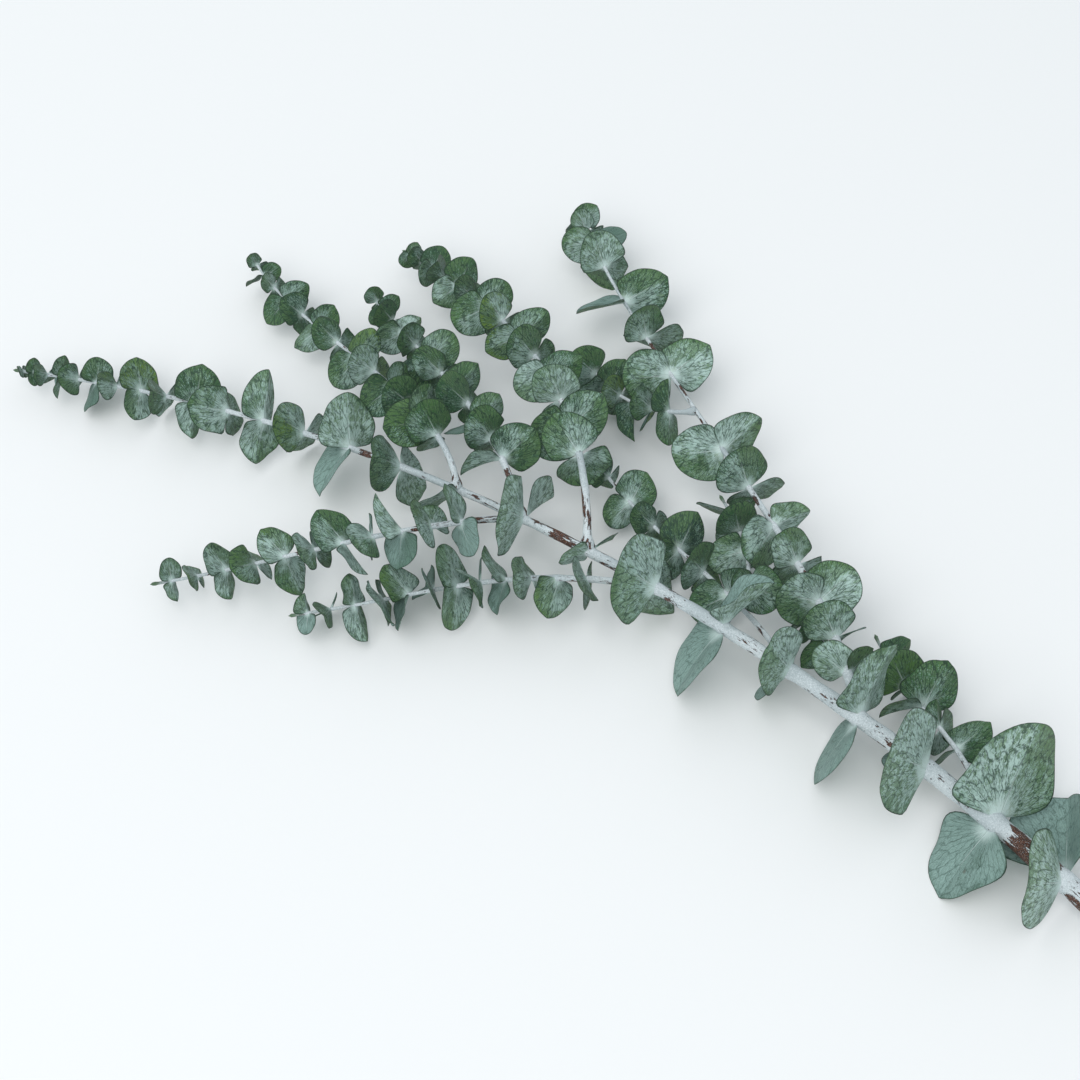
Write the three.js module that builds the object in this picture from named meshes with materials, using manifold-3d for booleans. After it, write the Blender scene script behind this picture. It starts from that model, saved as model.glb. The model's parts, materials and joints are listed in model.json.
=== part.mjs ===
import * as THREE from 'three';
import { mergeVertices } from 'three/addons/utils/BufferGeometryUtils.js';
import Module from 'manifold-3d';

// A cut eucalyptus branch that lies on a table, in millimetres, with +Z up.
// The origin is the flat spot under the cut end. +X runs along the main stem to its tip.
// Each leafy stem is a tapered stem with pairs of round leaves that sit straight on it.

const bladeThickness = 0.8;
// Points round a blade's edge, by its length: the small ones need fewer.
const rims = [{ above: 33, points: 10 }, { above: 14, points: 8 }, { above: 0, points: 6 }];
const sink = 1.3; // how deep a blade's root is sunk into its stem
const outlinePoints = 20; // points round a blade's edge where its room is measured
const ovate = 0.15; // how much wider a blade is near its root
const broadRoot = 0.5; // how square a blade's root end is
const taper = 1.6; // how fast a stem thins from its root on
const tipSharpness = 9; // how late the leaves dwindle toward a stem's tip
const smallestLeaf = 4.5;
const pressed = 12; // how much further forward a blade on the upper side leans, in degrees
const mainSides = 8;
const shootSides = 5;
const stemStep = 28; // length of one straight piece of a stem
const fewestSteps = 5; // straight pieces in the shortest stems
const sampleStep = 1.25; // spacing of the points where room to a stem is measured
const seatGap = 0.3; // room between a shoot's root and the stem that carries it
const trim = 1.4; // how far below the table a blade may reach before it is cut flat there
const rootLead = 0.7; // a shoot leaves its stem this many stem radii above the leaf pair

// Room kept round a blade: to blades of other stems, to blades of its own stem, and to any stem.
const clear = { others: 2.0, own: 1.1, stem: 1.0 };
// The share of a blade from its root on where it may meet its pair and its own stem's blades.
const joined = { pair: 0.6, own: 0.25 };

// The ways a blade may be moved to find room, in the order in which they are tried:
// turned round the stem and tipped toward the stem's tip, in degrees, the share of its
// twist toward the light, and its size.
const moves = [
  { turn: 0, tip: 0, twist: 1, size: 1 },
  { turn: 14, tip: 0, twist: 0.8, size: 1 },
  { turn: -14, tip: 0, twist: 0.8, size: 1 },
  { turn: 0, tip: -14, twist: 0.6, size: 1 },
  { turn: 0, tip: 14, twist: 0.5, size: 1 },
  { turn: 0, tip: 28, twist: 0.5, size: 1 },
  { turn: 28, tip: -8, twist: 0.6, size: 0.95 },
  { turn: -28, tip: -8, twist: 0.6, size: 0.95 },
  { turn: 0, tip: -26, twist: 0.3, size: 0.95 },
  { turn: 0, tip: 0, twist: 0, size: 0.9 },
  { turn: 42, tip: -16, twist: 0.4, size: 0.9 },
  { turn: -42, tip: -16, twist: 0.4, size: 0.9 },
  { turn: 20, tip: -30, twist: 0.2, size: 0.85 },
  { turn: -20, tip: -30, twist: 0.2, size: 0.85 },
  { turn: 56, tip: -24, twist: 0.5, size: 0.8 },
  { turn: -56, tip: -24, twist: 0.5, size: 0.8 },
  { turn: 0, tip: 10, twist: 0.2, size: 0.7 },
  { turn: 30, tip: -36, twist: 0, size: 0.65 },
  { turn: -30, tip: -36, twist: 0, size: 0.65 },
  { turn: 68, tip: -12, twist: 0.4, size: 0.7 },
  { turn: -68, tip: -12, twist: 0.4, size: 0.7 },
  { turn: 0, tip: 26, twist: 0, size: 0.6 },
  { turn: 44, tip: 18, twist: 0.6, size: 0.6 },
  { turn: -44, tip: 18, twist: 0.6, size: 0.6 },
  { turn: 0, tip: -20, twist: 0, size: 0.5 },
  { turn: 86, tip: -30, twist: 0.5, size: 0.5 },
  { turn: -86, tip: -30, twist: 0.5, size: 0.5 },
];

// Each leafy stem: route (the control points of its curve, the first left out where it grows
// from a leaf pair of its parent), its radius at root and tip, its number of leaf pairs, how
// many of the gaps between pairs stay even before they shorten by the ratio, the leaf length
// at root and tip before the dwindling, the angle of the first pair round the stem, and the
// length of bare stem before that pair.
const stems = [
  {
    name: 'main_leafy_stem',
    route: [[-3, 0.6, 3.6], [192, -41, 60], [406, -75, 22], [599, -9, 13]],
    radii: [5.3, 0.8], pairs: 25, even: 9, ratio: 0.89, leaf: [43, 18], turn: -32, bare: 42,
  },
  {
    name: 'far_shoot_1', parent: 'main_leafy_stem', pair: 1,
    route: [[102, -50, 20], [126, -48, 18], [157, -78, 18]],
    radii: [1.5, 0.7], pairs: 5, even: 5, ratio: 0.9, leaf: [20, 23], turn: 70, bare: 34,
  },
  {
    name: 'far_shoot_2', parent: 'main_leafy_stem', pair: 3,
    route: [[177, -89, 38], [323, -162, 16], [401, -238, 23]],
    radii: [2.3, 0.7], pairs: 16, even: 11, ratio: 0.65, leaf: [19, 26], turn: 76, bare: 30,
  },
  {
    name: 'far_shoot_3', parent: 'main_leafy_stem', pair: 4,
    route: [[214, -71, 14], [276, -75, 16], [321, -107, 15]],
    radii: [1.5, 0.7], pairs: 6, even: 6, ratio: 0.9, leaf: [20, 18], turn: 68, bare: 56,
  },
  {
    name: 'far_shoot_4', parent: 'main_leafy_stem', pair: 5,
    route: [[209, -68, 24], [227, -95, 17], [254, -113, 18]],
    radii: [1.5, 0.7], pairs: 5, even: 5, ratio: 0.9, leaf: [19, 21], turn: 85, bare: 34,
  },
  {
    name: 'near_shoot_1', parent: 'main_leafy_stem', pair: 6,
    route: [[322, -20, 29], [342, 2, 16], [396, 45, 14]],
    radii: [1.8, 0.7], pairs: 12, even: 9, ratio: 0.85, leaf: [21, 17], turn: -35, bare: 26,
  },
  {
    name: 'far_shoot_5', parent: 'main_leafy_stem', pair: 7,
    route: [[322, -109, 64], [393, -160, 21], [470, -172, 18]],
    radii: [2.1, 0.7], pairs: 14, even: 5, ratio: 0.9, leaf: [23, 16], turn: -19, bare: 50,
  },
  {
    name: 'far_shoot_6', parent: 'main_leafy_stem', pair: 8,
    route: [[361, -86, 52], [418, -106, 26], [466, -137, 20]],
    radii: [1.9, 0.7], pairs: 12, even: 8, ratio: 0.85, leaf: [21, 14], turn: 71, bare: 32,
  },
  {
    name: 'near_shoot_2', parent: 'main_leafy_stem', pair: 8,
    route: [[362, -3, 56], [416, 24, 15], [461, 63, 15]],
    radii: [1.7, 0.7], pairs: 11, even: 9, ratio: 0.85, leaf: [20, 16], turn: 55, bare: 30,
  },
  {
    name: 'far_shoot_7', parent: 'main_leafy_stem', pair: 9,
    route: [[380, -77, 58], [492, -101, 8], [537, -131, 16]],
    radii: [1.8, 0.6], pairs: 13, even: 9, ratio: 0.88, leaf: [21, 13], turn: -20, bare: 38,
  },
  {
    name: 'far_shoot_2_branchlet', parent: 'far_shoot_2', pair: 7,
    route: [[302, -136, 22], [330, -138, 18], [349, -155, 18]],
    radii: [1.3, 0.6], pairs: 6, even: 6, ratio: 0.9, leaf: [18, 19], turn: 65, bare: 14,
  },
  {
    name: 'far_shoot_2_twig', parent: 'far_shoot_2', pair: 0,
    route: [[171, -58, 26], [185, -63, 21], [199, -68, 20]],
    radii: [1.1, 0.6], pairs: 3, even: 3, ratio: 0.9, leaf: [15, 15], turn: 60, bare: 16,
  },
];

const wasm = await Module();
wasm.setup();

// One seeded draw after another, each between 0 and 1.
let seed = 7013;
function draw() {
  seed = (seed * 16807) % 2147483647;
  return seed / 2147483647;
}

function spread(range) {
  return range * (2 * draw() - 1);
}

const up = new THREE.Vector3(0, 0, 1);
const radians = THREE.MathUtils.degToRad;

// The directions along the stem, up and sideways at one place on its curve.
function frameAt(curve, t) {
  const along = curve.getTangent(t);
  const side = new THREE.Vector3().crossVectors(along, up).normalize();
  const over = new THREE.Vector3().crossVectors(side, along).normalize();
  return { place: curve.getPoint(t), along, side, over };
}

function radiusAt(stem, t) {
  const [root, tip] = stem.radii;
  return tip + (root - tip) * (1 - t) ** taper;
}

// The places of the leaf pairs: even gaps at first, then each shorter by the ratio.
function pairPlaces(stem) {
  const steps = [];
  for (let k = 0; k < stem.pairs; k += 1) {
    steps.push(k < stem.even ? 1 : stem.ratio ** (k - stem.even + 1));
  }
  const total = steps.reduce((sum, step) => sum + step, 0);
  const start = stem.bare / stem.curve.getLength();
  let reached = 0;
  return steps.map((step) => {
    const place = start + (1 - start) * (reached / total);
    reached += step;
    return place;
  });
}

for (const stem of stems) {
  const points = stem.route.map((p) => new THREE.Vector3(...p));
  if (stem.parent) {
    const parent = stems.find((other) => other.name === stem.parent);
    const t = parent.places[stem.pair];
    const lead = rootLead * radiusAt(parent, t) / parent.curve.getLength();
    points.unshift(parent.curve.getPoint(t + lead));
    stem.parentRadius = radiusAt(parent, t);
  }
  stem.curve = new THREE.CubicBezierCurve3(...points);
  stem.places = pairPlaces(stem);
}

// Points every few millimetres along a stem, outside its parent, with its radius there.
function stemSamples(stem) {
  const count = Math.ceil(stem.curve.getLength() / sampleStep);
  const samples = [];
  for (let k = 0; k <= count; k += 1) {
    const t = k / count;
    const along = k * sampleStep;
    if (!stem.parent || along > 1.05 * stem.parentRadius) {
      samples.push({ point: stem.curve.getPoint(t), radius: radiusAt(stem, t) });
    }
  }
  return samples;
}

// A blade's length at one place on its stem: from the root value to the tip value, then
// dwindling to a bud at the very tip.
function bladeLength(stem, t) {
  const [root, tip] = stem.leaf;
  const full = (root + (tip - root) * t) * Math.sqrt(1 - t ** tipSharpness);
  return Math.max(smallestLeaf, full);
}

// The blade's own directions: its midrib leans from the stem toward the tip, its upper face
// looks toward the tip, and it is twisted about the midrib by a share of what would lay it flat.
function place(leaf, move) {
  const { place: centre, along, side, over } = leaf.frame;
  const turn = radians(leaf.turn + move.turn);
  const out = over.clone().multiplyScalar(Math.cos(turn)).addScaledVector(side, Math.sin(turn));
  const lean = radians(leaf.lean + move.tip - pressed * Math.max(0, out.z));
  const midrib = along.clone().multiplyScalar(Math.cos(lean)).addScaledVector(out, Math.sin(lean));
  const face = along.clone().multiplyScalar(Math.sin(lean)).addScaledVector(out, -Math.cos(lean));
  const flat = up.clone().addScaledVector(midrib, -up.dot(midrib));
  const level = flat.length();
  flat.divideScalar(Math.max(level, 1e-6));
  if (flat.dot(face) < 0) {
    flat.negate();
  }
  const across = new THREE.Vector3().crossVectors(face, midrib);
  const full = Math.atan2(-flat.dot(across), flat.dot(face));
  const twist = leaf.light * move.twist * level * full;
  const turned = face.clone().multiplyScalar(Math.cos(twist)).addScaledVector(across, -Math.sin(twist));
  const length = leaf.length * move.size;
  const root = centre.clone().addScaledVector(out, Math.max(0, leaf.radius - sink));
  const placed = {
    ...leaf, root, midrib, face: turned, length, width: leaf.widen * length,
  };
  placed.across = new THREE.Vector3().crossVectors(turned, midrib);
  placed.outline = outlineOf(placed);
  return placed;
}

// Which half of the blade a point is on: 0 on the midrib itself.
function halfOf(b) {
  return Math.abs(b) < 1e-3 ? 0 : Math.sign(b);
}

// The blade's width as a share of a plain disc's, where z goes from -1 at its root to 1 at its tip.
function breadth(z) {
  return 1 - ovate * z + broadRoot * Math.min(0, z) ** 2;
}

// Half the blade's width at a share of its length, as an egg-shaped disc with a broad root end.
function halfWidth(leaf, share) {
  const z = 2 * Math.min(1, Math.max(0, share)) - 1;
  return 0.5 * leaf.width * Math.sqrt(1 - z * z) * breadth(z);
}

// How far the blade stands off its own flat plane: folded up along the midrib, one half more
// than the other, arched back at both sides, curled toward the tip and waved along its edges.
function lift(leaf, a, b) {
  const share = a / leaf.length;
  const edge = b / (0.5 * leaf.width);
  const wave = Math.sin(Math.PI * leaf.waves * share + leaf.phase + halfOf(b));
  const folded = Math.abs(b) * Math.sin(leaf.fold) * (1 + leaf.skew * halfOf(b));
  const bend = leaf.curl * share * share + (leaf.arch + leaf.wave * wave) * edge * edge;
  return folded + leaf.length * bend;
}

// A point of the blade from its place on a unit disc whose +z is the blade's tip.
function bladePoint(leaf, x, z, offset) {
  const a = leaf.length * (0.5 + 0.5 * z);
  const b = 0.5 * leaf.width * x * breadth(z);
  const height = lift(leaf, a, b) + offset * Math.cos(leaf.fold);
  const sideways = b * Math.cos(leaf.fold) - offset * halfOf(b) * Math.sin(leaf.fold);
  return leaf.root.clone()
    .addScaledVector(leaf.midrib, a)
    .addScaledVector(leaf.across, sideways)
    .addScaledVector(leaf.face, height);
}

function outlineOf(leaf) {
  const points = [];
  for (let k = 0; k < outlinePoints; k += 1) {
    const angle = (2 * Math.PI * k) / outlinePoints;
    points.push(bladePoint(leaf, Math.sin(angle), Math.cos(angle), 0));
  }
  return points;
}

// How far a point lies from the blade's sheet, or a large number if it is past its edge.
function distanceTo(leaf, point, margin) {
  const offset = point.clone().sub(leaf.root);
  const a = offset.dot(leaf.midrib);
  const b = offset.dot(leaf.across) / Math.cos(leaf.fold);
  if (a < -margin || a > leaf.length + margin) {
    return Infinity;
  }
  if (Math.abs(b) > halfWidth(leaf, a / leaf.length) + margin) {
    return Infinity;
  }
  return Math.abs(offset.dot(leaf.face) - lift(leaf, a, b)) * Math.cos(leaf.fold);
}

function touches(leaf, other) {
  const reach = leaf.length + other.length + clear.others;
  if (leaf.root.distanceTo(other.root) > reach) {
    return false;
  }
  const same = leaf.stem === other.stem;
  const room = same ? clear.own : clear.others;
  const free = same && leaf.pair === other.pair ? joined.pair : joined.own;
  const isFree = (point, from) => same && point.distanceTo(from.root) < free * from.length;
  const hits = (points, owner, sheet) => points.some(
    (point) => !isFree(point, owner) && distanceTo(sheet, point, room) < room,
  );
  return hits(leaf.outline, leaf, other) || hits(other.outline, other, leaf);
}

function touchesStem(leaf, stem) {
  const own = leaf.stem === stem;
  for (const { point, radius } of stem.samples) {
    const away = point.distanceTo(leaf.root);
    if (away < leaf.length + radius + clear.stem) {
      const room = own ? radius : radius + clear.stem;
      const near = own ? 0.3 * leaf.length + radius : 0;
      if (away > near && distanceTo(leaf, point, room) < room) {
        return true;
      }
      if (!own && leaf.outline.some((edge) => edge.distanceTo(point) < room)) {
        return true;
      }
    }
  }
  return false;
}

function fits(leaf, placed) {
  if (leaf.outline.some((point) => point.z < -trim)) {
    return false;
  }
  if (stems.some((stem) => touchesStem(leaf, stem))) {
    return false;
  }
  return !placed.some((other) => touches(leaf, other));
}

// Every leaf in turn, each in the first of its moves that keeps clear of what stands already.
function growLeaves() {
  const placed = [];
  for (const stem of stems) {
    stem.places.forEach((t, k) => {
      for (const half of [0, 180]) {
        const leaf = {
          stem,
          pair: k,
          frame: frameAt(stem.curve, t),
          turn: stem.turn + 90 * k + half + spread(12),
          lean: 82 + spread(16),
          radius: radiusAt(stem, t),
          length: bladeLength(stem, t) * (1 + spread(0.13)),
          widen: 1.12 + spread(0.1),
          light: 0.62 + spread(0.34),
          fold: radians(6 + 38 * draw() ** 2),
          skew: spread(0.45),
          curl: spread(0.14) - 0.05,
          arch: spread(0.08) - 0.06,
          wave: 0.08 * draw(),
          waves: 2 + spread(0.6),
          phase: Math.PI * draw(),
        };
        const found = moves.map((move) => place(leaf, move)).find((tried) => fits(tried, placed));
        if (found) {
          placed.push(found);
        }
      }
    });
  }
  return placed;
}

function toSolid(geometry) {
  const bare = geometry.clone();
  bare.deleteAttribute('normal');
  bare.deleteAttribute('uv');
  const merged = mergeVertices(bare, 1e-5);
  const mesh = new wasm.Mesh({
    numProp: 3,
    vertProperties: new Float32Array(merged.attributes.position.array),
    triVerts: new Uint32Array(merged.index.array),
  });
  return new wasm.Manifold(mesh);
}

function toGeometry(solid) {
  const mesh = solid.getMesh();
  const geometry = new THREE.BufferGeometry();
  geometry.setAttribute('position', new THREE.BufferAttribute(mesh.vertProperties, 3));
  geometry.setIndex(new THREE.BufferAttribute(mesh.triVerts, 1));
  geometry.computeVertexNormals();
  return geometry;
}

// A unit cylinder bent along the stem's curve and tapered, wider by what is added.
function stemSolid(stem, added) {
  const steps = Math.max(fewestSteps, Math.ceil(stem.curve.getLength() / stemStep));
  const sides = stem.parent ? shootSides : mainSides;
  const geometry = new THREE.CylinderGeometry(1, 1, 1, sides, steps);
  const position = geometry.attributes.position;
  for (let i = 0; i < position.count; i += 1) {
    const t = position.getY(i) + 0.5;
    const { place: centre, side, over } = frameAt(stem.curve, t);
    const radius = radiusAt(stem, t) + added;
    centre.addScaledVector(side, radius * position.getX(i));
    centre.addScaledVector(over, radius * position.getZ(i));
    position.setXYZ(i, centre.x, centre.y, centre.z);
  }
  return toSolid(geometry);
}

// A unit disc with a face above and below, laid on the blade's surface.
function bladeSolid(leaf) {
  const rim = rims.find(({ above }) => leaf.length > above);
  const geometry = new THREE.CylinderGeometry(1, 1, 1, rim.points, 1);
  const position = geometry.attributes.position;
  for (let i = 0; i < position.count; i += 1) {
    const offset = bladeThickness * position.getY(i);
    const point = bladePoint(leaf, position.getX(i), position.getZ(i), offset);
    position.setXYZ(i, point.x, point.y, point.z);
  }
  return toSolid(geometry);
}

for (const stem of stems) {
  stem.samples = stemSamples(stem);
}
const leaves = growLeaves();

const roomSize = 2000;
const aboveTable = toSolid(
  new THREE.BoxGeometry(roomSize, roomSize, roomSize).translate(0, 0, roomSize / 2),
);

// One leafy stem as a single body: its blades joined to it, cut to a saddle where it sits on
// its parent, and cut flat where it meets the table.
function leafyStem(stem) {
  const blades = leaves.filter((leaf) => leaf.stem === stem).map(bladeSolid);
  let body = blades.reduce((joined, blade) => joined.add(blade), stemSolid(stem, 0));
  if (stem.parent) {
    const parent = stems.find((other) => other.name === stem.parent);
    body = body.subtract(stemSolid(parent, seatGap));
  }
  return toGeometry(body.intersect(aboveTable));
}

const branch = new THREE.Group();
for (const stem of stems) {
  const green = new THREE.MeshStandardMaterial({ color: '#6f8a78', roughness: 0.72, metalness: 0 });
  const mesh = new THREE.Mesh(leafyStem(stem), green);
  mesh.name = stem.name;
  branch.add(mesh);
}

export default branch;
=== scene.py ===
import json
import math
from types import SimpleNamespace

import bpy
import numpy as np
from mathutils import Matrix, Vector

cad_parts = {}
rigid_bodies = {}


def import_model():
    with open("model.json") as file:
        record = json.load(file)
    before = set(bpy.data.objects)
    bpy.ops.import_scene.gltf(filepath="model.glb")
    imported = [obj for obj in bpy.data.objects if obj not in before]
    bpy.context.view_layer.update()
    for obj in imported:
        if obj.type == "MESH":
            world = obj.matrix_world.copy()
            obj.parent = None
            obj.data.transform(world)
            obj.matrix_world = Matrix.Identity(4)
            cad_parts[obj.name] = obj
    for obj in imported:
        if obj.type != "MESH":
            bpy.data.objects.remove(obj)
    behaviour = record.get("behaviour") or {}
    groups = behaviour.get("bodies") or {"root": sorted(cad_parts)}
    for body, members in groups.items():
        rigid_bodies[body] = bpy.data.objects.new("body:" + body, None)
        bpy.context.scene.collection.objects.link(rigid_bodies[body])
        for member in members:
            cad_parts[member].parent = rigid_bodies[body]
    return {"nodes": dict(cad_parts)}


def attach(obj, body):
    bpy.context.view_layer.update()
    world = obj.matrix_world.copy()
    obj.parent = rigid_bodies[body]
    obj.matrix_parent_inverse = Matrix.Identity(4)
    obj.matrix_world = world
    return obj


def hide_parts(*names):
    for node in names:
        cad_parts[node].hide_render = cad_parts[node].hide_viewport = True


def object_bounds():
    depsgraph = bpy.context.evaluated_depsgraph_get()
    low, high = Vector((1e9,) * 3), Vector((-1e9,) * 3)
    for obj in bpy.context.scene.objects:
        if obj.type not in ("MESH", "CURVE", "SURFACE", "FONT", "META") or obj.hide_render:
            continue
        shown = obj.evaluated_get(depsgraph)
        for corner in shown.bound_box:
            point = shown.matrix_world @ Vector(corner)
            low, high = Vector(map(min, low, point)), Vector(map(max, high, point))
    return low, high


# A cut eucalyptus branch on a pale table. Its leaves are grown by a seeded rule, in millimetres,
# and every mesh is made in metres.
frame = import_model()
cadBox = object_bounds()
mm = 0.001
print("frame loaded:", len(frame["nodes"]), "nodes")


# Stems: route is the control points of the curve, the first left out where it grows from a leaf
# pair of its parent. wax and green say how chalky and how yellow-green its leaves are; a low green
# leans them to a darker green that is partly painted shade.
stems = [
    {"name": "main_leafy_stem", "route": [[-3, 0.6, 3.6], [192, -41, 60], [406, -75, 22], [599, -9, 13]],
     "radii": [5.3, 0.8], "pairs": 25, "even": 9, "ratio": 0.89, "leaf": [43, 18],
     "turn": -32, "bare": 42, "wax": [1.35, 0.7], "green": 0.15},
    {"name": "far_shoot_1", "parent": "main_leafy_stem", "pair": 1,
     "route": [[102, -50, 20], [126, -48, 18], [157, -78, 18]],
     "radii": [1.5, 0.7], "pairs": 5, "even": 5, "ratio": 0.9, "leaf": [20, 23],
     "turn": 70, "bare": 34, "wax": [0.55, 0.5], "green": 0.3},
    {"name": "far_shoot_2", "parent": "main_leafy_stem", "pair": 3,
     "route": [[177, -89, 38], [323, -162, 16], [401, -238, 23]],
     "radii": [2.3, 0.7], "pairs": 16, "even": 11, "ratio": 0.65, "leaf": [19, 26],
     "turn": 76, "bare": 30, "wax": [0.65, 0.85], "green": 0.3},
    {"name": "far_shoot_3", "parent": "main_leafy_stem", "pair": 4,
     "route": [[214, -71, 14], [276, -75, 16], [321, -107, 15]],
     "radii": [1.5, 0.7], "pairs": 6, "even": 6, "ratio": 0.9, "leaf": [20, 18],
     "turn": 68, "bare": 56, "wax": [0.5, 0.45], "green": 0},
    {"name": "far_shoot_4", "parent": "main_leafy_stem", "pair": 5,
     "route": [[209, -68, 24], [227, -95, 17], [254, -113, 18]],
     "radii": [1.5, 0.7], "pairs": 5, "even": 5, "ratio": 0.9, "leaf": [19, 21],
     "turn": 85, "bare": 34, "wax": [0.5, 0.45], "green": 0.1},
    {"name": "near_shoot_1", "parent": "main_leafy_stem", "pair": 6,
     "route": [[322, -20, 29], [342, 2, 16], [396, 45, 14]],
     "radii": [1.8, 0.7], "pairs": 12, "even": 9, "ratio": 0.85, "leaf": [21, 17],
     "turn": -35, "bare": 26, "wax": [0.95, 0.85], "green": 0.65},
    {"name": "far_shoot_5", "parent": "main_leafy_stem", "pair": 7,
     "route": [[322, -109, 64], [393, -160, 21], [470, -172, 18]],
     "radii": [2.1, 0.7], "pairs": 14, "even": 5, "ratio": 0.9, "leaf": [23, 16],
     "turn": -19, "bare": 50, "wax": [0.75, 0.3], "green": 0.15},
    {"name": "far_shoot_6", "parent": "main_leafy_stem", "pair": 8,
     "route": [[361, -86, 52], [418, -106, 26], [466, -137, 20]],
     "radii": [1.9, 0.7], "pairs": 12, "even": 8, "ratio": 0.85, "leaf": [21, 14],
     "turn": 71, "bare": 32, "wax": [0.6, 0.35], "green": 0.1},
    {"name": "near_shoot_2", "parent": "main_leafy_stem", "pair": 8,
     "route": [[362, -3, 56], [416, 24, 15], [461, 63, 15]],
     "radii": [1.7, 0.7], "pairs": 11, "even": 9, "ratio": 0.85, "leaf": [20, 16],
     "turn": 55, "bare": 30, "wax": [0.95, 0.85], "green": 0.6},
    {"name": "far_shoot_7", "parent": "main_leafy_stem", "pair": 9,
     "route": [[380, -77, 58], [492, -101, 8], [537, -131, 16]],
     "radii": [1.8, 0.6], "pairs": 13, "even": 9, "ratio": 0.88, "leaf": [21, 13],
     "turn": -20, "bare": 38, "wax": [0.6, 0.4], "green": 0.1},
    {"name": "far_shoot_2_branchlet", "parent": "far_shoot_2", "pair": 7,
     "route": [[302, -136, 22], [330, -138, 18], [349, -155, 18]],
     "radii": [1.3, 0.6], "pairs": 6, "even": 6, "ratio": 0.9, "leaf": [18, 19],
     "turn": 65, "bare": 14, "wax": [0.4, 0.35], "green": 0.2},
    {"name": "far_shoot_2_twig", "parent": "far_shoot_2", "pair": 0,
     "route": [[171, -58, 26], [185, -63, 21], [199, -68, 20]],
     "radii": [1.1, 0.6], "pairs": 3, "even": 3, "ratio": 0.9, "leaf": [15, 15],
     "turn": 60, "bare": 16, "wax": [0.45, 0.4], "green": 0.3},
]

# The rule that shapes leaves and finds room for them. Lengths are in millimetres, pressed is in
# degrees, and the joined ones are shares of a leaf's length near its root, where it may touch.
leafRule = {
    "seed": 7013, "sink": 1.3, "edgePoints": 20, "ovate": 0.15, "broadRoot": 0.5, "tipSharpness": 9,
    "smallest": 4.5, "pressed": 12, "sampleStep": 1.25, "trim": 1.4, "rootLead": 0.7, "taper": 1.6,
    "roomOthers": 2.0, "roomOwn": 1.1, "roomStem": 1.0, "joinedPair": 0.6, "joinedOwn": 0.25,
    "joinedStem": 0.3, "clearOfParent": 1.05,
}

# How single leaves stand and bend, each value with its middle and how far it strays to both sides.
# turn, lean and fold are in degrees, the others are shares. fold is its least and what is added.
leafHabit = {
    "turn": (0, 12), "lean": (82, 16), "size": (1, 0.13), "widen": (1.12, 0.1), "light": (0.62, 0.34),
    "fold": (6, 38), "skew": (0, 0.45), "curl": (-0.05, 0.14), "arch": (-0.06, 0.08), "wave": 0.08,
    "waves": (2, 0.6),
}

# Each way that a blade may be moved to find room: turned, tipped, its share of twist and its size.
leafMoves = [
    (0, 0, 1, 1), (14, 0, 0.8, 1), (-14, 0, 0.8, 1), (0, -14, 0.6, 1), (0, 14, 0.5, 1),
    (0, 28, 0.5, 1), (28, -8, 0.6, 0.95), (-28, -8, 0.6, 0.95), (0, -26, 0.3, 0.95), (0, 0, 0, 0.9),
    (42, -16, 0.4, 0.9), (-42, -16, 0.4, 0.9), (20, -30, 0.2, 0.85), (-20, -30, 0.2, 0.85),
    (56, -24, 0.5, 0.8), (-56, -24, 0.5, 0.8), (0, 10, 0.2, 0.7), (30, -36, 0, 0.65),
    (-30, -36, 0, 0.65), (68, -12, 0.4, 0.7), (-68, -12, 0.4, 0.7), (0, 26, 0, 0.6),
    (44, 18, 0.6, 0.6), (-44, 18, 0.6, 0.6), (0, -20, 0, 0.5), (86, -30, 0.5, 0.5), (-86, -30, 0.5, 0.5),
]

upward = np.array([0.0, 0.0, 1.0])


def unit(v):
    return v / np.linalg.norm(v, axis=-1, keepdims=True)


# A cubic curve: each control point weighted by its share at t, from 0 at the root to 1 at the tip.
def curvePoint(stem, t):
    t = np.asarray(t, float)[..., None]
    p0, p1, p2, p3 = stem["points"]
    return (1 - t) ** 3 * p0 + 3 * (1 - t) ** 2 * t * p1 + 3 * (1 - t) * t**2 * p2 + t**3 * p3


# The stem's point at t and its own directions there: along it, sideways, and over it, all square
# to each other.
def curveFrame(stem, t):
    t = np.asarray(t, float)
    step = 1e-4
    along = unit(curvePoint(stem, np.minimum(t + step, 1)) - curvePoint(stem, np.maximum(t - step, 0)))
    side = unit(np.cross(along, upward))
    over = unit(np.cross(side, along))
    return curvePoint(stem, t), along, side, over


# The stem's radius at t: the tip's, plus what the root's has over it times a power of what is left.
def radiusAt(stem, t):
    root, tip = stem["radii"]
    return tip + (root - tip) * (1 - t) ** leafRule["taper"]


# Places of the leaf pairs: even gaps, then each shorter by the ratio, from the bare stretch on.
def pairPlaces(stem):
    k = np.arange(stem["pairs"])
    steps = np.where(k < stem["even"], 1.0, stem["ratio"] ** (k - stem["even"] + 1.0))
    reached = np.concatenate([[0.0], np.cumsum(steps)[:-1]])
    start = stem["bare"] / stem["length"]
    return start + (1 - start) * reached / steps.sum()


# Each stem's curve, length and leaf pairs. A shoot's curve starts inside its parent, just past one
# of the parent's leaf pairs.
def layStems():
    byName = {stem["name"]: stem for stem in stems}
    for number, stem in enumerate(stems):
        stem["number"] = number
        points = [np.array(p, float) for p in stem["route"]]
        if "parent" in stem:
            parent = byName[stem["parent"]]
            t = parent["places"][stem["pair"]]
            lead = leafRule["rootLead"] * radiusAt(parent, t) / parent["length"]
            points.insert(0, curvePoint(parent, t + lead))
            stem["parentRadius"] = radiusAt(parent, t)
        stem["points"] = np.array(points)
        chords = np.diff(curvePoint(stem, np.linspace(0, 1, 201)), axis=0)
        stem["length"] = np.linalg.norm(chords, axis=1).sum()
        stem["places"] = pairPlaces(stem)


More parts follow.
